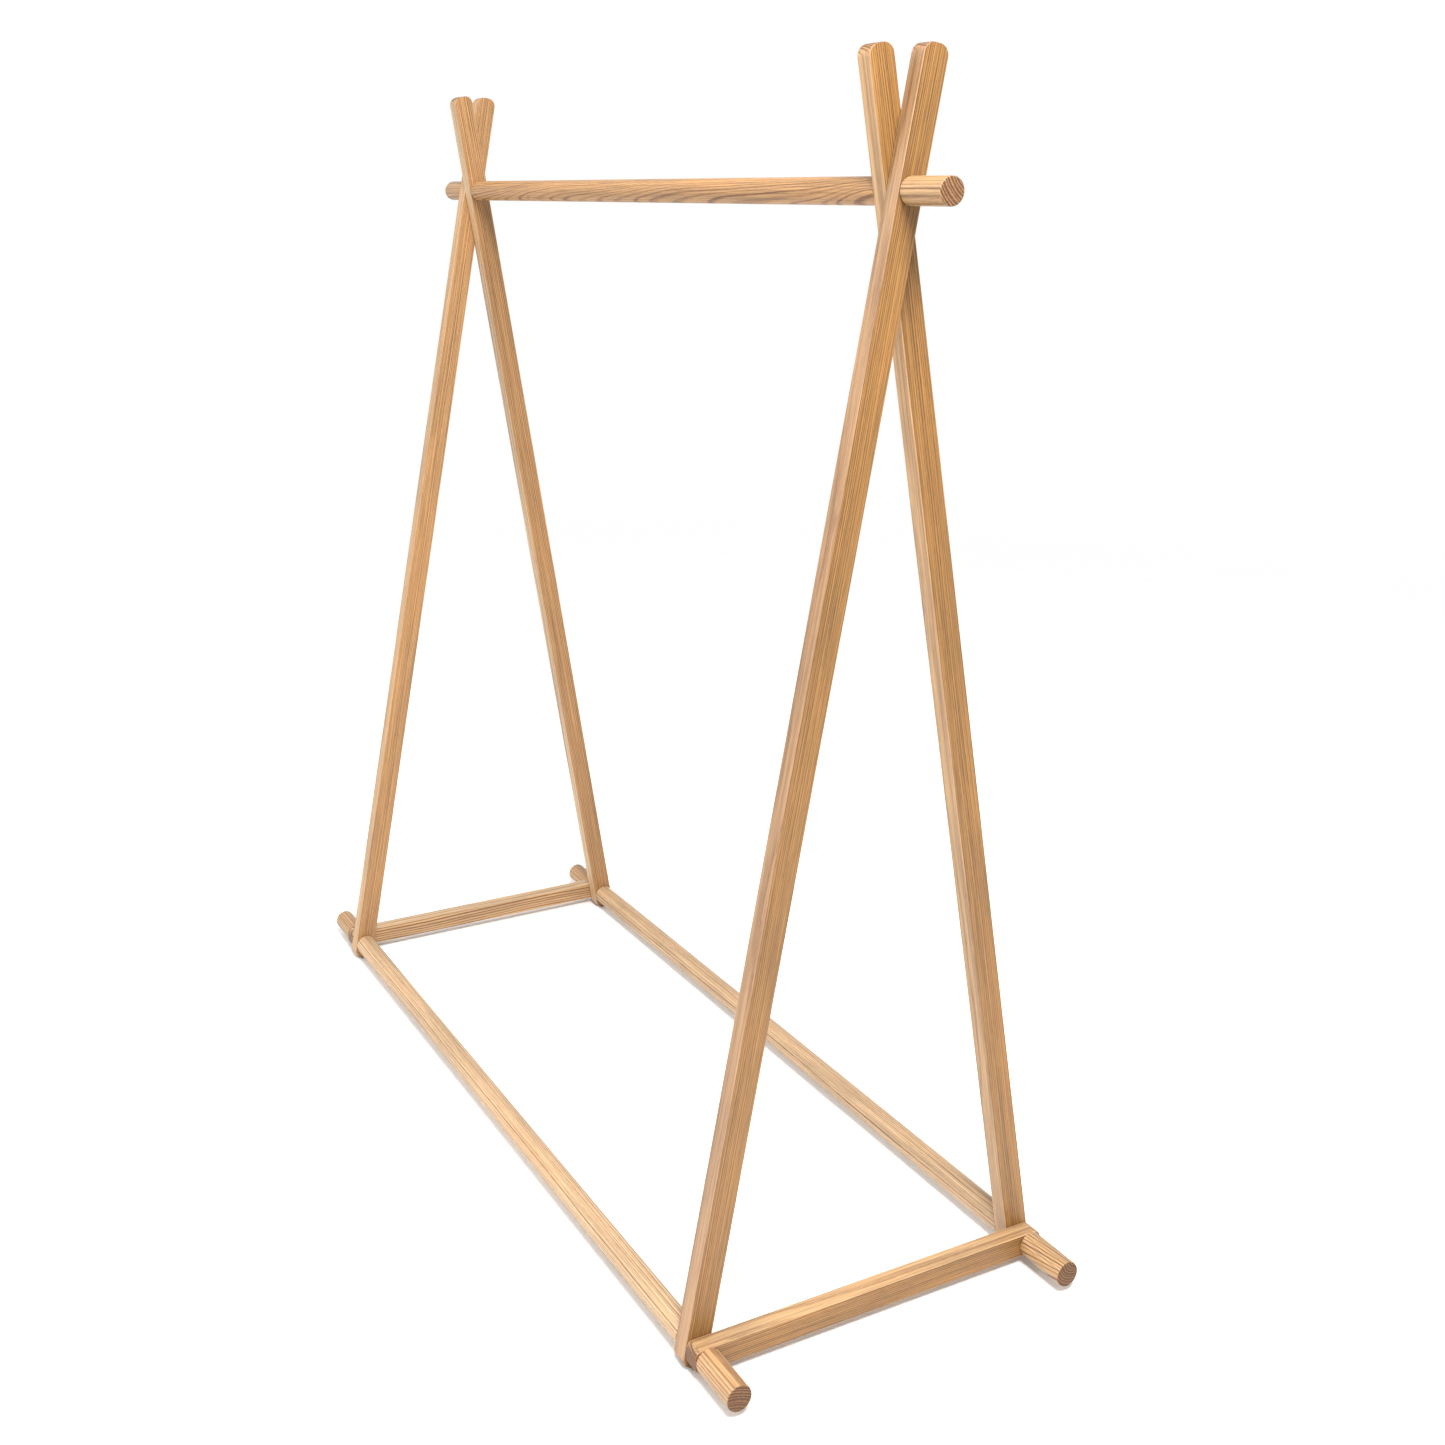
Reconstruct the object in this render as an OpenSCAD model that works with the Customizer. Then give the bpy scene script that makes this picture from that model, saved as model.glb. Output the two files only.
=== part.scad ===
// Tipi clothes rack in solid ash: two crossed-leg end frames, three round rails and six turned end knobs.
// Row frame: X along the rails, Y from the front legs to the back legs, Z up, origin on the floor under the centre.

/* [Rack] */
// Half the distance between the planes where the legs cross
cross_x = 651; // [500:1:900]
// Distance between the axes of the two floor rails
base_w = 514; // [400:1:700]
// Height of the top rail's axis above the floor rails' axes
rise = 1432; // [1000:1:1700]
// Height of the floor rails' axes above the floor
rail_z = 27.5; // [24:0.5:40]

/* [Legs] */
// Width of a leg's broad face
leg_w = 35.5; // [30:0.5:50]
// Thickness of a leg
leg_t = 25; // [20:1:32]
// Length of a leg above the top rail's axis
leg_horn = 172; // [100:1:250]
// Corner radius of a leg's ends
leg_end_r = 14; // [8:1:15]

/* [Crossbars] */
// Height of a crossbar
bar_h = 30; // [26:1:36]
// Thickness of a crossbar
bar_t = 25; // [20:1:32]
// Length of a crossbar beyond each floor rail's axis
bar_tail = 18; // [16:1:24]
// Corner radius of a crossbar's ends
bar_end_r = 9; // [4:1:12]

/* [Rails and knobs] */
// Diameter of the rails and the knobs
rail_d = 35; // [30:1:36]
// Length of an end knob
knob_len = 75; // [50:1:100]
// Chamfer round the end of a rail or knob
rail_chamfer = 1.2; // [0.5:0.1:2]

/* [Hardware] */
// Diameter of the threaded studs
stud_d = 8; // [8:1:10]
// Diameter of the stud holes through the legs and crossbars
stud_hole_d = 9.5; // [9:0.1:11]
// Depth that a stud reaches into a rail, and into a knob
stud_grip = 30; // [20:1:40]
// Outer diameter of the threaded inserts
insert_d = 12; // [12:1:14]
// Length of the threaded inserts
insert_len = 20; // [12:1:25]

/* [Hidden] */

NEAR = 1;    // the end frame on the +X side
FAR = -1;    // the end frame on the -X side
FRONT = -1;  // the -Y side
BACK = 1;    // the +Y side
TOP = 0;     // the middle, where the top rail is

leg_play = 0.5;       // gap between the two legs where they cross
seat_gap = 0.7;       // gap between a rail's or knob's end and the leg that leans against it
bar_gap = 0.6;        // gap between a leg and its crossbar
knob_gap = 0.35;      // gap between a knob and its crossbar
thread_play = 0.05;   // running clearance of a stud in a knob's insert
hole_slack = 3;       // depth of a blind hole beyond the stud's end
arc_step = 9;         // degrees between the points of an end's rounded corner
smooth = 96;          // facets round a turned part
ash = "burlywood";
brass = "goldenrod";
zinc = "silver";

// A leg's middle plane at the floor rail's axis and at the top rail's axis: back legs stand upright on
// the inside, and front legs start in line with them and slant across to the outside
leg_foot_x = cross_x - (leg_t + leg_play) / 2;
function leg_top_x(side) = cross_x - side * (leg_t + leg_play) / 2;
function leg_tilt(side) = atan((leg_top_x(side) - leg_foot_x) / rise);
function leg_lean(side) = atan(base_w / 2 / norm([leg_top_x(side) - leg_foot_x, rise]));
function leg_span(side) = norm([leg_top_x(side) - leg_foot_x, base_w / 2, rise]);

// Length of a leg below its floor rail's axis that brings its rounded foot down to the floor
function leg_foot(side) =
    let (lean = leg_lean(side), tilt = leg_tilt(side))
    leg_end_r + ((rail_z - leg_t / 2 * sin(tilt)) / cos(tilt) - leg_end_r
        - (leg_w / 2 - leg_end_r) * sin(lean)) / cos(lean);

top_z = rail_z + rise;
bar_x = leg_foot_x + leg_t / 2 + bar_gap + bar_t / 2;
top_rail_end = cross_x - leg_t - leg_play / 2 - seat_gap;
floor_rail_end = leg_foot_x - leg_t / 2 - seat_gap;
top_knob_x = cross_x + leg_t + leg_play / 2 + seat_gap;
floor_knob_x = bar_x + bar_t / 2 + knob_gap;

function rail_end(row) = row == TOP ? top_rail_end : floor_rail_end;
function knob_start(row) = row == TOP ? top_knob_x : floor_knob_x;
function axis_y(row) = row * base_w / 2;
function axis_z(row) = row == TOP ? top_z : rail_z;

// Outline of a batten from v0 to v1, w wide, with all four corners rounded
function corner(u, v, r, start) = [for (a = [start : arc_step : start + 90]) [u + r * cos(a), v + r * sin(a)]];
function batten(w, v0, v1, r) = concat(
    corner(w / 2 - r, v1 - r, r, 0),
    corner(-w / 2 + r, v1 - r, r, 90),
    corner(-w / 2 + r, v0 + r, r, 180),
    corner(w / 2 - r, v0 + r, r, 270)
);

// Stands a flat outline upright in the YZ plane and gives it a thickness along X
module upright(thickness) {
    rotate([90, 0, 90]) linear_extrude(height = thickness, center = true) children();
}

// Puts its children on an axis along X, at the rail of that row
module on_axis(row) {
    translate([0, axis_y(row), axis_z(row)]) children();
}

// A rod along X from x0 to x1
module rod_x(x0, x1, d) {
    translate([x0, 0, 0]) rotate([0, 90, 0]) cylinder(h = x1 - x0, d = d, $fn = smooth);
}

module stud_hole(row) {
    on_axis(row) rod_x(-2 * cross_x, 2 * cross_x, stud_hole_d);
}

// A leg's batten on the near side, grown all round by a margin
module leg_batten(side, margin = 0) {
    translate([leg_foot_x, axis_y(side), rail_z])
        rotate([side * leg_lean(side), leg_tilt(side), 0])
        upright(leg_t + 2 * margin)
        polygon(batten(leg_w + 2 * margin, -leg_foot(side), leg_span(side) + leg_horn, leg_end_r));
}

// Front legs have a shallow housing where the back leg crosses them
module leg(end, side) {
    color(ash) difference() {
        mirror([end == FAR ? 1 : 0, 0, 0]) difference() {
            leg_batten(side);
            if (side == FRONT) leg_batten(BACK, leg_play);
        }
        stud_hole(side);
        stud_hole(TOP);
    }
}

module crossbar(end) {
    color(ash) difference() {
        translate([end * bar_x, 0, rail_z])
            rotate([90, 0, 0])
            upright(bar_t)
            polygon(batten(bar_h, -base_w / 2 - bar_tail, base_w / 2 + bar_tail, bar_end_r));
        stud_hole(FRONT);
        stud_hole(BACK);
    }
}

// A turned bar along X with a chamfer at each end
module turned(x0, x1) {
    r = rail_d / 2;
    c = rail_chamfer;
    translate([x0, 0, 0]) rotate([0, 90, 0]) rotate_extrude($fn = smooth)
        polygon([[0, 0], [r - c, 0], [r, c], [r, x1 - x0 - c], [r - c, x1 - x0], [0, x1 - x0]]);
}

// The stepped hole in an end face at x: room for the insert, then for the stud's tip, towards dir
module end_hole(x, dir) {
    translate([x, 0, 0]) rotate([0, dir * 90, 0]) {
        translate([0, 0, -1]) cylinder(h = insert_len + 1, d = insert_d, $fn = smooth);
        cylinder(h = stud_grip + hole_slack, d = stud_hole_d, $fn = smooth);
    }
}

// A threaded insert whose outer face lies at x, reaching inward towards dir
module insert(x, dir, bore_d) {
    color(brass) translate([x, 0, 0]) rotate([0, dir * 90, 0]) difference() {
        cylinder(h = insert_len, d = insert_d, $fn = smooth);
        translate([0, 0, -1]) cylinder(h = insert_len + 2, d = bore_d, $fn = smooth);
    }
}

module rail(row) {
    color(ash) on_axis(row) difference() {
        turned(-rail_end(row), rail_end(row));
        end_hole(rail_end(row), -1);
        end_hole(-rail_end(row), 1);
    }
}

module rail_inserts(row) {
    on_axis(row) for (end = [NEAR, FAR]) insert(end * rail_end(row), -end, stud_d);
}

module rail_studs(row) {
    inner = rail_end(row) - stud_grip;
    outer = knob_start(row) + stud_grip;
    color(zinc) on_axis(row) {
        rod_x(inner, outer, stud_d);
        rod_x(-outer, -inner, stud_d);
    }
}

module knob(end, row) {
    color(ash) mirror([end == FAR ? 1 : 0, 0, 0]) on_axis(row) difference() {
        turned(knob_start(row), knob_start(row) + knob_len);
        end_hole(knob_start(row), 1);
    }
}

module knob_insert(end, row) {
    on_axis(row) insert(end * knob_start(row), end, stud_d + 2 * thread_play);
}

leg(NEAR, FRONT);  // near_front_leg
leg(NEAR, BACK);  // near_back_leg
leg(FAR, FRONT);  // far_front_leg
leg(FAR, BACK);  // far_back_leg
crossbar(NEAR);  // near_crossbar
crossbar(FAR);  // far_crossbar
rail(TOP);  // top_rail
rail(FRONT);  // front_rail
rail(BACK);  // back_rail
rail_studs(TOP);  // top_rail_studs
rail_studs(FRONT);  // front_rail_studs
rail_studs(BACK);  // back_rail_studs
rail_inserts(TOP);  // top_rail_inserts
rail_inserts(FRONT);  // front_rail_inserts
rail_inserts(BACK);  // back_rail_inserts
knob(NEAR, TOP);  // near_top_knob
knob(NEAR, FRONT);  // near_front_knob
knob(NEAR, BACK);  // near_back_knob
knob(FAR, TOP);  // far_top_knob
knob(FAR, FRONT);  // far_front_knob
knob(FAR, BACK);  // far_back_knob
knob_insert(NEAR, TOP);  // near_top_knob_insert
knob_insert(NEAR, FRONT);  // near_front_knob_insert
knob_insert(NEAR, BACK);  // near_back_knob_insert
knob_insert(FAR, TOP);  // far_top_knob_insert
knob_insert(FAR, FRONT);  // far_front_knob_insert
knob_insert(FAR, BACK);  // far_back_knob_insert
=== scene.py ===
"""A crossed-leg clothes rack in oiled ash: its wood and hardware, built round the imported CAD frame."""
import math

import bmesh
import bpy
from mathutils import Matrix, Vector


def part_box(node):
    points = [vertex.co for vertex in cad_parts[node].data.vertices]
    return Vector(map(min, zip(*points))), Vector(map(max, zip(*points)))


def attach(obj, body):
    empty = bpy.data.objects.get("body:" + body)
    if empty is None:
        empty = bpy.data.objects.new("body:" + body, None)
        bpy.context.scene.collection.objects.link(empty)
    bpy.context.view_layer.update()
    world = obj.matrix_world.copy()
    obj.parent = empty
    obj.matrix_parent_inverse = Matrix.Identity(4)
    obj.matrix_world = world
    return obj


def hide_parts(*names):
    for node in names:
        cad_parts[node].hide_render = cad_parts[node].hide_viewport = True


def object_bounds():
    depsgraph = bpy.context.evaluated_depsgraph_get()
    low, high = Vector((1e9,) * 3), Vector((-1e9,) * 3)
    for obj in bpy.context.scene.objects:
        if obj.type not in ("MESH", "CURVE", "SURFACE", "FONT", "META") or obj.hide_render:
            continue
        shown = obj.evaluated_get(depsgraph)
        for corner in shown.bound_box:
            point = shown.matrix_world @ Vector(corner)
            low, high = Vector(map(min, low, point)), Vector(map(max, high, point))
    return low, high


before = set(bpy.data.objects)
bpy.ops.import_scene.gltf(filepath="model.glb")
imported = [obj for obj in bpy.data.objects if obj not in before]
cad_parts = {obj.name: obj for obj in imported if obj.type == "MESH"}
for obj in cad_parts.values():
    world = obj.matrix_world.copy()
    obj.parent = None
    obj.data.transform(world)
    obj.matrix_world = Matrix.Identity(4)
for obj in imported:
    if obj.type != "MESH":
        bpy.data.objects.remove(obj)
CAD_LOW, CAD_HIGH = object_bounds()

MM = 0.001


def mid(node):
    low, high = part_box(node)
    return (low + high) / 2


def span(node):
    low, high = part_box(node)
    return high - low


# Stock sizes that a node's box alone doesn't give
LEG_W = 35.5 * MM
LEG_HORN = 172 * MM
LEG_END_R = 14 * MM
LEG_PLAY = 0.5 * MM
BAR_END_R = 9 * MM
STUD_HOLE_R = 4.75 * MM
INSERT_R = 6 * MM
INSERT_DEEP = 20 * MM
HOLE_DEEP = 33 * MM
EDGE_EASE = 1.1 * MM       # rounding sanded onto a batten's long edges
KNOB_EASE = 1.4 * MM       # rounding turned onto a rail's or knob's end
HOUSING_EASE = 0.3 * MM    # rounding of the cutter that houses one leg in the other
ON_AXIS = 0.0001 * MM      # radius of a turned profile's first ring, in place of a point
CORNER_STEPS = 10          # faces round a batten's corner
EASE_STEPS = 4             # faces round an eased edge
ROUND_STEPS = 96           # faces round a turned piece
CREASE = math.radians(35)  # edges sharper than this stay sharp
MARKS = ("cut_end", "eased", "narrow")   # shares from 0 to 1 that finish_wood stores on each face

RAIL_R = span("top_rail").z / 2
LEG_T = span("near_back_leg").x
LEG_X = mid("near_back_leg").x
AXIS = {row: mid(row + "_rail") for row in ("top", "front", "back")}
ENDS = {"near": 1, "far": -1}
SIDES = ("front", "back")


# ---------------------------------------------------------------- meshes

def quarter(radius, steps):
    """(inset, depth) pairs round a quarter circle: from a face's rim to the side's full width."""
    turns = [math.radians(90 * k / steps) for k in range(steps + 1)]
    return [(radius * (1 - math.sin(a)), radius * (1 - math.cos(a))) for a in turns]


def outline(width, low, high, radius):
    """Points round a batten's broad face, with rounded corners."""
    centres = ((1, high, 0), (-1, high, 90), (-1, low, 180), (1, low, 270))
    points = []
    for side, end, start in centres:
        inward = radius if end == low else -radius
        for k in range(CORNER_STEPS + 1):
            a = math.radians(start + 90 * k / CORNER_STEPS)
            points.append((side * (width / 2 - radius) + radius * math.cos(a),
                           end + inward + radius * math.sin(a)))
    return points


def skin(bm, rings, capped=True):
    """Joins rings of vertices, each the same length, into one closed surface."""
    for one, two in zip(rings, rings[1:]):
        for k in range(len(one)):
            nxt = (k + 1) % len(one)
            bm.faces.new((one[k], one[nxt], two[nxt], two[k]))
    if capped:
        bm.faces.new(rings[0])
        bm.faces.new(rings[-1])


def new_piece(name, bm, matrix):
    """A mesh object in the row frame, with its normals outward."""
    bmesh.ops.recalc_face_normals(bm, faces=bm.faces)
    bmesh.ops.transform(bm, matrix=matrix, verts=bm.verts)
    if matrix.determinant() < 0:
        bmesh.ops.reverse_faces(bm, faces=bm.faces)
    mesh = bpy.data.meshes.new(name)
    bm.to_mesh(mesh)
    bm.free()
    piece = bpy.data.objects.new(name, mesh)
    bpy.context.scene.collection.objects.link(piece)
    return piece


def batten(name, width, low, high, radius, thickness, matrix, ease=EDGE_EASE, grow=0.0):
    """A flat batten along its own Z, broad across Y and thick along X, with eased edges."""
    bm = bmesh.new()
    rings = []
    steps = [(i, thickness / 2 + grow - d) for i, d in quarter(ease, EASE_STEPS)]
    for inset, x in steps + [(i, -x) for i, x in reversed(steps)]:
        points = outline(width + 2 * (grow - inset), low - grow + inset, high + grow - inset,
                         radius + grow - inset)
        rings.append([bm.verts.new((x, y, z)) for y, z in points])
    skin(bm, rings)
    return new_piece(name, bm, matrix)


def turned(name, profile, matrix):
    """A piece turned about its own Z from (radius, z) points; the ends of the profile lie on the axis."""
    bm = bmesh.new()
    turns = [math.tau * k / ROUND_STEPS for k in range(ROUND_STEPS)]
    rings = [[bm.verts.new((r * math.cos(a), r * math.sin(a), z)) for a in turns]
             for r, z in profile]
    skin(bm, rings)
    return new_piece(name, bm, matrix)


def carve(piece, cutters):
    """Cuts the cutters out of the piece for good."""
    for cutter in cutters:
        mod = piece.modifiers.new("cut", "BOOLEAN")
        mod.operation = "DIFFERENCE"
        mod.solver = "EXACT"
        mod.object = cutter
    depsgraph = bpy.context.evaluated_depsgraph_get()
    mesh = bpy.data.meshes.new_from_object(piece.evaluated_get(depsgraph))
    piece.modifiers.clear()
    piece.data = mesh
    mesh.name = piece.name
    for cutter in cutters:
        bpy.data.objects.remove(cutter)


def drill(row, low_x, high_x):
    """A cutter for the stud's hole on that row's axis."""
    axis = AXIS[row]
    matrix = Matrix.Translation((low_x, axis.y, axis.z)) @ Matrix.Rotation(math.pi / 2, 4, "Y")
    return turned("drill", [(STUD_HOLE_R, 0), (STUD_HOLE_R, high_x - low_x)], matrix)


def finish_wood(piece, matrix, along, body, node):
    """Marks where the grain runs, creases the corners, and sets the piece on its body."""
    mesh = piece.data
    back = matrix.inverted()
    turn = matrix.to_3x3().inverted()
    grain = mesh.attributes.new("grain", "FLOAT_VECTOR", "POINT")
    for vert, item in zip(mesh.vertices, grain.data):
        item.vector = back @ vert.co
    cut_end, eased, narrow = (mesh.attributes.new(name, "FLOAT", "FACE") for name in MARKS)
    for face, end_item, ease_item, narrow_item in zip(mesh.polygons, cut_end.data, eased.data, narrow.data):
        normal = (turn @ face.normal).normalized()
        end_item.value = abs(normal.z) ** 1.5
        share = abs(getattr(normal, along))
        ease_item.value = 1.0 if 0.15 < share < 0.98 else 0.0
        narrow_item.value = abs(normal.y if along == "x" else normal.z)
    bm = bmesh.new()
    bm.from_mesh(mesh)
    for edge in bm.edges:
        edge.smooth = len(edge.link_faces) == 2 and edge.calc_face_angle(0.0) < CREASE
    for face in bm.faces:
        face.smooth = True
    bm.to_mesh(mesh)
    bm.free()
    weighted = piece.modifiers.new("flat faces stay flat", "WEIGHTED_NORMAL")
    weighted.keep_sharp = True
    mesh.materials.clear()
    mesh.materials.append(ash(node, **WOODS[node]))
    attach(piece, body)
    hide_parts(node)
    return piece


# ---------------------------------------------------------------- materials

class Graph:
    """A short way to write shader nodes: each call makes one node and returns its first output."""

    def __init__(self, tree):
        self.tree = tree

    def node(self, kind, inputs=(), **settings):
        made = self.tree.nodes.new("ShaderNode" + kind)
        for key, value in settings.items():
            setattr(made, key, value)
        for key, value in dict(inputs).items():
            if isinstance(value, bpy.types.NodeSocket):
                self.tree.links.new(value, made.inputs[key])
            else:
                made.inputs[key].default_value = value
        return made

    def math(self, operation, a, b=0.0, c=0.0, clamp=False):
        return self.node("Math", {0: a, 1: b, 2: c}, operation=operation, use_clamp=clamp).outputs[0]

    def vector(self, operation, a, b=(0, 0, 0)):
        made = self.node("VectorMath", {0: a, 1: b}, operation=operation)
        return made.outputs["Value" if operation in ("LENGTH", "DOT_PRODUCT") else "Vector"]

    def noise(self, at, detail=2.0, roughness=0.5, distortion=0.0):
        made = self.node("TexNoise", {"Vector": at, "Scale": 1.0, "Detail": detail,
                                      "Roughness": roughness, "Distortion": distortion})
        return made.outputs["Fac"]

    def band(self, value, low, high, to_low=0.0, to_high=1.0):
        return self.node("MapRange", {0: value, 1: low, 2: high, 3: to_low, 4: to_high},
                         interpolation_type="SMOOTHSTEP").outputs[0]

    def mix(self, share, a, b, blend="MIX"):
        made = self.node("Mix", {0: share, 6: a, 7: b}, data_type="RGBA", blend_type=blend)
        return made.outputs[2]


def linear(red, green, blue):
    """A colour from 0 to 255 per channel, as a shader's linear colour."""
    return tuple(((c / 255 + 0.055) / 1.055) ** 2.4 for c in (red, green, blue)) + (1.0,)


def ash_group():
    """The ash itself, from the grain's own coordinates: growth rings, open pores, fibre and end grain."""
    tree = bpy.data.node_groups.new("ash", "ShaderNodeTree")
    face = tree.interface
    for name, kind in (("Pith", "Vector"), ("Ring", "Float"), ("Slope", "Float"), ("Wander", "Float"),
                       ("Contrast", "Float"), ("Seed", "Vector"), ("Wide", "Color"), ("Narrow", "Color")):
        face.new_socket(name, in_out="INPUT", socket_type="NodeSocket" + kind)
    for name, kind in (("Color", "Color"), ("Roughness", "Float"), ("Height", "Float")):
        face.new_socket(name, in_out="OUTPUT", socket_type="NodeSocket" + kind)
    g = Graph(tree)
    given = tree.nodes.new("NodeGroupInput").outputs
    grain = g.node("Attribute", attribute_name="grain").outputs["Vector"]
    cut_end, eased, narrow = (g.node("Attribute", attribute_name=name).outputs["Fac"] for name in MARKS)
    at = g.vector("MULTIPLY", grain, (1000, 1000, 1000))
    free = g.vector("ADD", at, given["Seed"])

    def stretched(across, along, **kind):
        return g.noise(g.vector("MULTIPLY", free, (across, across, along)), **kind)

    # growth rings round a pith outside the piece, which wander slowly along it
    off = g.vector("MULTIPLY", g.vector("SUBTRACT", at, given["Pith"]), (1, 1, 0))
    slow = g.math("SUBTRACT", stretched(0.011, 0.0021, detail=1.5), 0.5)
    ripple = g.math("SUBTRACT", stretched(0.09, 0.011, detail=2.0), 0.5)
    radius = g.vector("LENGTH", off)
    radius = g.math("MULTIPLY_ADD", slow, given["Wander"], radius)
    radius = g.math("MULTIPLY_ADD", ripple, 1.1, radius)
    along = g.node("SeparateXYZ", {0: at}).outputs[2]
    radius = g.math("MULTIPLY_ADD", along, given["Slope"], radius)
    years = g.math("DIVIDE", radius, given["Ring"])
    uneven = g.node("TexNoise", {"W": years, "Scale": 0.43, "Detail": 1.0},
                    noise_dimensions="1D").outputs["Fac"]
    years = g.math("MULTIPLY_ADD", uneven, 1.1, years)
    season = g.math("FRACT", years)
    full = g.math("MULTIPLY_ADD", cut_end, 0.2, 0.18)
    gone = g.math("MULTIPLY_ADD", cut_end, 0.22, 0.48)
    early = g.math("MULTIPLY", g.band(season, 0.0, 0.05), g.band(season, full, gone, 1.0, 0.0))
    late = g.band(season, 0.55, 0.97)
    strong = g.node("TexNoise", {"W": g.math("FLOOR", years), "Scale": 3.7, "Detail": 0.0},
                    noise_dimensions="1D").outputs["Fac"]
    early = g.math("MULTIPLY", early, g.band(strong, 0.3, 0.62, 0.5, 1.15))

    fibre = stretched(0.85, 0.011, detail=3.0, roughness=0.6)
    fine = stretched(2.4, 0.05, detail=2.0)
    vessel = g.band(stretched(1.7, 0.085, detail=1.0), 0.53, 0.66)
    plain = g.math("MULTIPLY_ADD", g.math("MULTIPLY", narrow, g.math("SUBTRACT", 1.0, cut_end)), -0.62, 1.0)
    early = g.math("MULTIPLY", early, plain)
    pore = g.math("MULTIPLY", vessel, g.math("MULTIPLY_ADD", early, 0.85, 0.13))
    streak = stretched(0.42, 0.004, detail=1.0)
    broad = stretched(0.022, 0.0035, detail=2.0)

    # A batten's narrow faces take the Narrow tone, paler than the wide: partly the edge grain's own tone,
    # partly painted sheen of the light those faces catch. A turned piece's ends take it as end grain.
    pale = g.mix(narrow, given["Wide"], given["Narrow"])
    dark = g.mix(1.0, pale, (0.42, 0.29, 0.165, 1), "MULTIPLY")
    line = g.math("MULTIPLY", early, given["Contrast"])
    line = g.math("MULTIPLY", line, g.band(fine, 0.36, 0.62, 0.5, 1.0))
    line = g.math("MULTIPLY", line, g.math("MULTIPLY_ADD", cut_end, 1.0, 0.9), clamp=True)
    colour = g.mix(line, pale, dark)
    dense = g.mix(1.0, pale, (0.86, 0.80, 0.72, 1), "MULTIPLY")
    colour = g.mix(g.math("MULTIPLY", late, 0.35), colour, dense)
    hollow = g.mix(1.0, dark, (0.62, 0.5, 0.4, 1), "MULTIPLY")
    colour = g.mix(g.math("MULTIPLY", pore, 0.75, clamp=True), colour, hollow)
    shade = g.math("ADD", g.band(fibre, 0.28, 0.72, 0.78, 1.20), g.band(fine, 0.3, 0.7, -0.12, 0.12))
    shade = g.math("ADD", shade, g.band(streak, 0.3, 0.7, -0.17, 0.17))
    shade = g.math("ADD", shade, g.band(broad, 0.3, 0.72, -0.09, 0.09))
    grey = g.node("CombineXYZ", {0: shade, 1: shade, 2: shade}).outputs[0]
    colour = g.mix(1.0, colour, grey, "MULTIPLY")
    warm = g.mix(1.0, colour, (0.90, 0.80, 0.68, 1), "MULTIPLY")
    colour = g.mix(g.band(broad, 0.5, 0.8, 0.0, 0.45), colour, warm)
    soaked = g.mix(1.0, colour, (0.58, 0.50, 0.44, 1), "MULTIPLY")
    colour = g.mix(g.math("MULTIPLY", cut_end, 0.85), colour, soaked)
    # Paler eased edges: partly wear, partly a painted highlight along the rounded edges and rims.
    worn = g.math("MULTIPLY", eased, g.band(stretched(0.2, 0.03), 0.3, 0.75, 0.0, 0.16))
    worn = g.math("MULTIPLY", worn, g.math("MULTIPLY_ADD", cut_end, -0.5, 1.0))
    colour = g.mix(worn, colour, linear(232, 198, 156))

    rough = g.math("MULTIPLY_ADD", pore, 0.18, g.band(fibre, 0.2, 0.8, 0.46, 0.56))
    rough = g.math("MULTIPLY_ADD", cut_end, 0.14, rough)
    height = g.math("MULTIPLY_ADD", pore, -1.0, g.math("MULTIPLY", fine, 0.35))
    height = g.math("MULTIPLY_ADD", early, -0.35, height)
    out = tree.nodes.new("NodeGroupOutput")
    for name, value in (("Color", colour), ("Roughness", rough), ("Height", height)):
        tree.links.new(value, out.inputs[name])
    return tree


def ash(name, pith, wide, narrow, ring=3.2, slope=0.0, wander=9.0, contrast=1.0):
    """An oiled ash for one piece, cut from its own place in the plank."""
    material = bpy.data.materials.new("ash_" + name)
    material.use_nodes = True
    tree = material.node_tree
    g = Graph(tree)
    shader = tree.nodes["Principled BSDF"]
    wood = g.node("Group", node_tree=ASH)
    seed = len(bpy.data.materials)
    given = {"Pith": (pith[0], pith[1], 0.0), "Ring": ring, "Slope": slope, "Wander": wander,
             "Contrast": contrast, "Seed": (seed * 37.0, seed * 53.0, seed * 911.0),
             "Wide": linear(*wide), "Narrow": linear(*narrow)}
    for key, value in given.items():
        wood.inputs[key].default_value = value
    bump = g.node("Bump", {"Height": wood.outputs["Height"], "Strength": 0.6, "Distance": 0.15 * MM})
    tree.links.new(wood.outputs["Color"], shader.inputs["Base Color"])
    tree.links.new(wood.outputs["Roughness"], shader.inputs["Roughness"])
    tree.links.new(bump.outputs["Normal"], shader.inputs["Normal"])
    shader.inputs["Specular IOR Level"].default_value = 0.5
    shader.inputs["Coat Weight"].default_value = 0.12
    shader.inputs["Coat Roughness"].default_value = 0.32
    return material


def metal(name, base, worn, rough, across, along):
    """A machined metal with fine tool marks and a little tarnish."""
    material = bpy.data.materials.new(name)
    material.use_nodes = True
    tree = material.node_tree
    g = Graph(tree)
    shader = tree.nodes["Principled BSDF"]
    at = g.node("TexCoord").outputs["Object"]
    marks = g.noise(g.vector("MULTIPLY", at, (along, across, across)), detail=3.0)
    stain = g.noise(g.vector("MULTIPLY", at, (90, 90, 90)), detail=3.0)
    tint = g.mix(g.band(stain, 0.4, 0.75), linear(*base), linear(*worn))
    tree.links.new(tint, shader.inputs["Base Color"])
    tree.links.new(g.band(marks, 0.3, 0.7, rough - 0.08, rough + 0.1), shader.inputs["Roughness"])
    bump = g.node("Bump", {"Height": marks, "Strength": 0.4, "Distance": 0.05 * MM})
    tree.links.new(bump.outputs["Normal"], shader.inputs["Normal"])
    shader.inputs["Metallic"].default_value = 1.0
    return material


ASH = ash_group()


# ---------------------------------------------------------------- legs and crossbars

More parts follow.
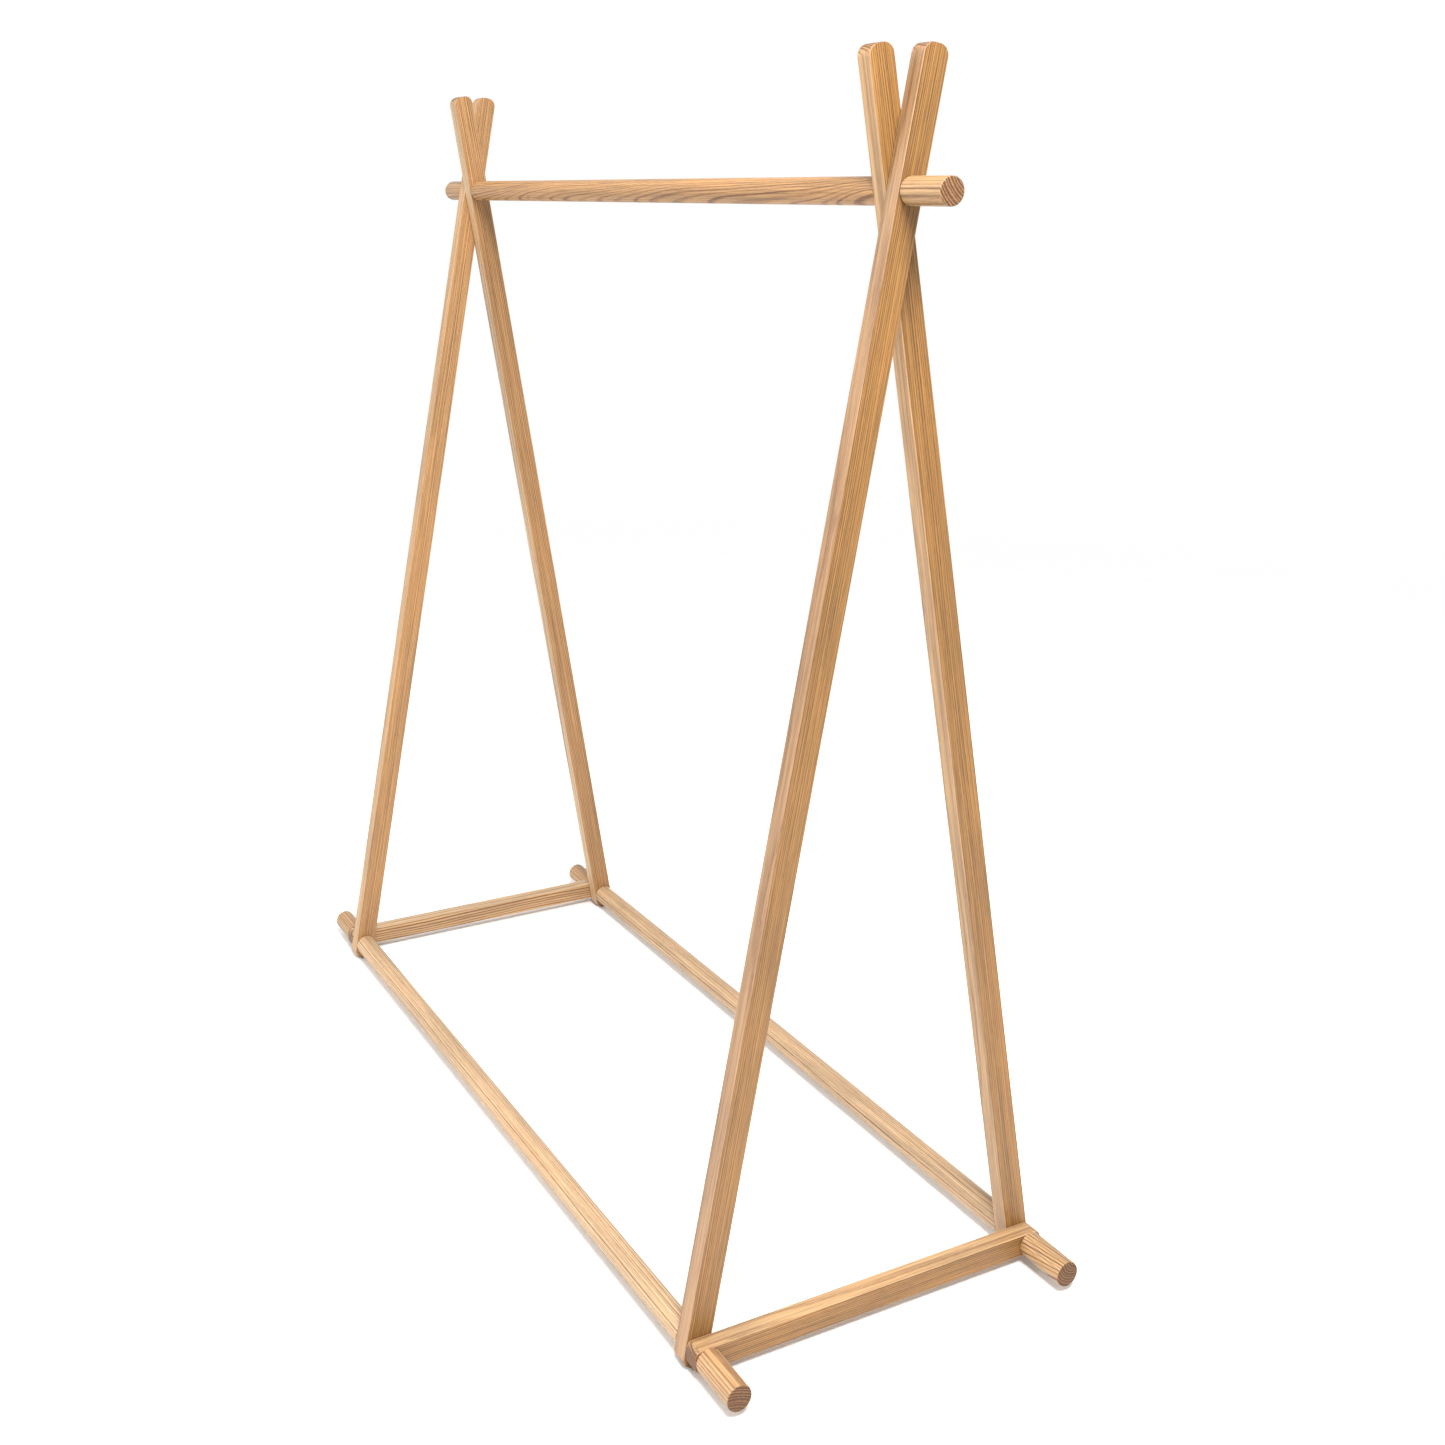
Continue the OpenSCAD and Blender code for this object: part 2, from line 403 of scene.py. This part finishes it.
def leg_matrix(end, side):
    """Stands a leg on its floor rail's axis, leaning in to the top rail; front legs also slant outwards."""
    sideways = 0.0 if side == "back" else LEG_T + LEG_PLAY
    foot = Vector((LEG_X, AXIS[side].y, AXIS[side].z))
    along = Vector((LEG_X + sideways, AXIS["top"].y, AXIS["top"].z)) - foot
    tilt = math.atan2(along.x, along.z)
    lean = math.atan2(-along.y, math.hypot(along.x, along.z))
    matrix = Matrix.Translation(foot) @ Matrix.Rotation(tilt, 4, "Y") @ Matrix.Rotation(lean, 4, "X")
    return Matrix.Diagonal((ENDS[end], 1, 1, 1)) @ matrix, tilt, abs(lean), along.length


def leg(end, side):
    name = f"{end}_{side}_leg"
    matrix, tilt, lean, length = leg_matrix(end, side)
    level = (AXIS[side].z - LEG_T / 2 * math.sin(tilt)) / math.cos(tilt)
    foot = LEG_END_R + (level - LEG_END_R - (LEG_W / 2 - LEG_END_R) * math.sin(lean)) / math.cos(lean)
    sizes = (LEG_W, -foot, length + LEG_HORN, LEG_END_R, LEG_T, matrix)
    piece = batten(name + "_batten", *sizes)
    low, high = sorted((ENDS[end] * (LEG_X - 2 * LEG_T), ENDS[end] * (LEG_X + 3 * LEG_T)))
    cutters = [drill(side, low, high), drill("top", low, high)]
    if side == "front":
        other, _, _, other_length = leg_matrix(end, "back")
        cutters.append(batten("housing", LEG_W, -foot, other_length + LEG_HORN, LEG_END_R, LEG_T,
                              other, ease=HOUSING_EASE, grow=LEG_PLAY))
    carve(piece, cutters)
    return finish_wood(piece, matrix, "x", "frame", name)


def crossbar(end):
    name = f"{end}_crossbar"
    size, centre = span(name), mid(name)
    matrix = Matrix.Translation(centre) @ Matrix.Rotation(math.pi / 2, 4, "X")
    piece = batten(name + "_batten", size.z, -size.y / 2, size.y / 2, BAR_END_R, size.x, matrix)
    low, high = centre.x - size.x, centre.x + size.x
    carve(piece, [drill("front", low, high), drill("back", low, high)])
    return finish_wood(piece, matrix, "x", "frame", name)


def eased_end(inner, start, inward):
    """The profile of a turned end from its inner points out to the eased rim. inward is 1 or -1 along Z."""
    rim = [(RAIL_R - inset, depth) for depth, inset in reversed(quarter(KNOB_EASE, EASE_STEPS))]
    return [(r, start + inward * z) for r, z in inner + rim]


def drilled_end(start, inward):
    """A turned end with the stepped hole for its insert and stud."""
    hole = [(ON_AXIS, HOLE_DEEP), (STUD_HOLE_R, HOLE_DEEP), (STUD_HOLE_R, INSERT_DEEP),
            (INSERT_R, INSERT_DEEP), (INSERT_R, 0.0)]
    return eased_end(hole, start, inward)


def plain_end(start, inward):
    return eased_end([(ON_AXIS, 0.0)], start, inward)


def along_x(centre, start, direction):
    """The matrix of a turned piece whose own Z runs along X from start."""
    turn = Matrix.Rotation(direction * math.pi / 2, 4, "Y")
    return Matrix.Translation((start, centre.y, centre.z)) @ turn


def rail(row):
    name = row + "_rail"
    low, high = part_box(name)
    matrix = along_x(AXIS[row], low.x, 1)
    length = high.x - low.x
    profile = drilled_end(0.0, 1) + list(reversed(drilled_end(length, -1)))
    piece = turned(name + "_rod", profile, matrix)
    return finish_wood(piece, matrix, "z", name, name)


def knob(end, row):
    name = f"{end}_{row}_knob"
    low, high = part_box(name)
    direction = ENDS[end]
    start = low.x if direction > 0 else high.x
    matrix = along_x(AXIS[row], start, direction)
    profile = drilled_end(0.0, 1) + list(reversed(plain_end(high.x - low.x, -1)))
    piece = turned(name + "_peg", profile, matrix)
    return finish_wood(piece, matrix, "z", name, name)


# The tones of oiled ash in the rack, from 0 to 255 per channel, darkest first
HONEY = (145, 105, 55)
BISCUIT = (150, 115, 80)
AMBER = (160, 120, 75)
STRAW = (170, 135, 95)
WHEAT = (180, 150, 115)

# Each piece's own ash. pith is where the heart of the tree lies across the piece, ring the width of a year's
# growth and wander how far the rings drift, in millimetres; narrow is the tone of a batten's narrow faces,
# paler than wide partly as painted sheen, and also colours a turned piece's ends.
WOODS = {
    "near_front_leg": dict(pith=(26, 190), wide=HONEY, narrow=BISCUIT, ring=2.9, wander=11, contrast=1.25),
    "near_back_leg": dict(pith=(-24, -150), wide=HONEY, narrow=STRAW, ring=3.0, wander=15, contrast=1.15),
    "far_front_leg": dict(pith=(30, 170), wide=AMBER, narrow=STRAW, ring=3.0, wander=12, contrast=1.1),
    "far_back_leg": dict(pith=(26, -140), wide=AMBER, narrow=WHEAT, ring=3.0, wander=12, contrast=1.5),
    "near_crossbar": dict(pith=(24, 130), wide=HONEY, narrow=STRAW, ring=2.9, wander=12, contrast=1.3),
    "far_crossbar": dict(pith=(26, 60), wide=STRAW, narrow=WHEAT, ring=4.6, wander=26, contrast=2.2),
    "top_rail": dict(pith=(-26, 9), wide=AMBER, narrow=AMBER, ring=3.2, slope=0.05, wander=30, contrast=1.2),
    "front_rail": dict(pith=(-60, 64), wide=WHEAT, narrow=WHEAT, ring=2.8, wander=9, contrast=0.9),
    "back_rail": dict(pith=(-58, 58), wide=WHEAT, narrow=WHEAT, ring=2.8, wander=9, contrast=1.0),
    "near_top_knob": dict(pith=(-40, 52), wide=STRAW, narrow=STRAW, ring=3.8, wander=6, contrast=1.6),
    "near_front_knob": dict(pith=(66, -20), wide=STRAW, narrow=HONEY, ring=3.6, wander=7, contrast=1.6),
    "near_back_knob": dict(pith=(-18, 12), wide=STRAW, narrow=HONEY, ring=3.8, slope=0.12, wander=9,
                           contrast=1.6),
    "far_top_knob": dict(pith=(52, 18), wide=STRAW, narrow=BISCUIT, ring=3.6, wander=7, contrast=1.4),
    "far_front_knob": dict(pith=(50, 50), wide=STRAW, narrow=BISCUIT, ring=3.6, wander=7, contrast=1.4),
    "far_back_knob": dict(pith=(46, 54), wide=STRAW, narrow=BISCUIT, ring=3.6, wander=7, contrast=1.4),
}
for end in ENDS:
    for side in SIDES:
        leg(end, side)
    crossbar(end)
for row in AXIS:
    rail(row)
    for end in ENDS:
        knob(end, row)

BRASS = metal("machined_brass", (196, 160, 92), (160, 120, 66), 0.34, 5200, 300)
ZINC = metal("zinc_plated_steel", (186, 188, 190), (150, 152, 158), 0.36, 300, 5200)
for name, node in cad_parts.items():
    if name.endswith(("_insert", "_inserts", "_studs")):
        node.data.materials.clear()
        node.data.materials.append(ZINC if name.endswith("_studs") else BRASS)


# ---------------------------------------------------------------- camera, floor and light

CAMERA_PLACE = (2.27, -1.21, 1.46)
CAMERA_YAW = math.radians(27)        # turned from -X towards +Y
CAMERA_PITCH = math.radians(9.85)    # looking down
CAMERA_LENS = 41.5
CAMERA_SHIFT = (0.08, -0.168)
FLOOR_IN, FLOOR_OUT = 1.5, 5.5       # distances from the centre where the floor begins to thin and ends
KEY_PLACE, KEY_SIZE, KEY_WATTS = (-1.6, -4.4, 3.2), 2.4, 120
OVERHEAD_PLACE, OVERHEAD_SIZE, OVERHEAD_WATTS = (2.5, -0.8, 3.9), 1.5, 290
OVERHEAD_AIM = Vector((0.4, 0, 0.3))  # from the rack's centre


def camera():
    """Stands where the rack is seen a little from above, from beyond its near end and in front."""
    level = Vector((-math.cos(CAMERA_YAW), math.sin(CAMERA_YAW), 0))
    forward = level * math.cos(CAMERA_PITCH) - Vector((0, 0, math.sin(CAMERA_PITCH)))
    right = forward.cross(Vector((0, 0, 1))).normalized()
    up = right.cross(forward)
    data = bpy.data.cameras.new("camera")
    data.lens = CAMERA_LENS
    data.sensor_width = 36.0
    data.shift_x, data.shift_y = CAMERA_SHIFT
    data.clip_end = 100.0
    eye = bpy.data.objects.new("camera", data)
    eye.matrix_world = Matrix.Translation(CAMERA_PLACE) @ Matrix((right, up, -forward)).transposed().to_4x4()
    bpy.context.scene.collection.objects.link(eye)
    bpy.context.scene.camera = eye


def floor():
    """A pale disc that thins out into the backdrop well beyond the rack."""
    bm = bmesh.new()
    bmesh.ops.create_circle(bm, cap_ends=True, segments=96, radius=FLOOR_OUT)
    piece = new_piece("floor", bm, Matrix.Translation((0, 0, CAD_LOW.z - 0.0002)))
    material = bpy.data.materials.new("pale_floor")
    material.use_nodes = True
    g = Graph(material.node_tree)
    shader = material.node_tree.nodes["Principled BSDF"]
    cloud = g.noise(g.vector("MULTIPLY", g.node("TexCoord").outputs["Object"], (1.3, 1.3, 1.3)))
    tint = g.mix(g.band(cloud, 0.3, 0.7), (0.86, 0.86, 0.86, 1), (0.88, 0.88, 0.88, 1))
    material.node_tree.links.new(tint, shader.inputs["Base Color"])
    shader.inputs["Roughness"].default_value = 0.9
    shader.inputs["Specular IOR Level"].default_value = 0.1
    away = g.vector("LENGTH", g.node("TexCoord").outputs["Object"])
    clear = g.node("BsdfTransparent").outputs[0]
    mixed = g.node("MixShader", {0: g.band(away, FLOOR_IN, FLOOR_OUT), 1: shader.outputs[0], 2: clear})
    out = material.node_tree.nodes["Material Output"]
    material.node_tree.links.new(mixed.outputs[0], out.inputs["Surface"])
    piece.data.materials.append(material)


def area(name, place, target, size, watts):
    data = bpy.data.lights.new(name, "AREA")
    data.shape = "DISK"
    data.size = size
    data.energy = watts
    lamp = bpy.data.objects.new(name, data)
    lamp.location = place
    lamp.rotation_mode = "QUATERNION"
    lamp.rotation_quaternion = (Vector(target) - Vector(place)).to_track_quat("-Z", "Y")
    bpy.context.scene.collection.objects.link(lamp)


def light():
    centre = (CAD_LOW + CAD_HIGH) / 2
    area("key", KEY_PLACE, centre, KEY_SIZE, KEY_WATTS)
    area("overhead", OVERHEAD_PLACE, centre + OVERHEAD_AIM, OVERHEAD_SIZE, OVERHEAD_WATTS)
    world = bpy.data.worlds.new("studio")
    world.use_nodes = True
    back = world.node_tree.nodes["Background"]
    g = Graph(world.node_tree)
    towards = g.node("SeparateXYZ", {0: g.node("TexCoord").outputs["Generated"]}).outputs[0]
    world.node_tree.links.new(g.band(towards, -0.35, 0.6, 1.0, 0.62), back.inputs["Strength"])
    back.inputs["Color"].default_value = (1.0, 1.0, 1.0, 1)
    bpy.context.scene.world = world
    view = bpy.context.scene.view_settings
    view.view_transform = "Standard"
    view.look = "None"


camera()
floor()
light()
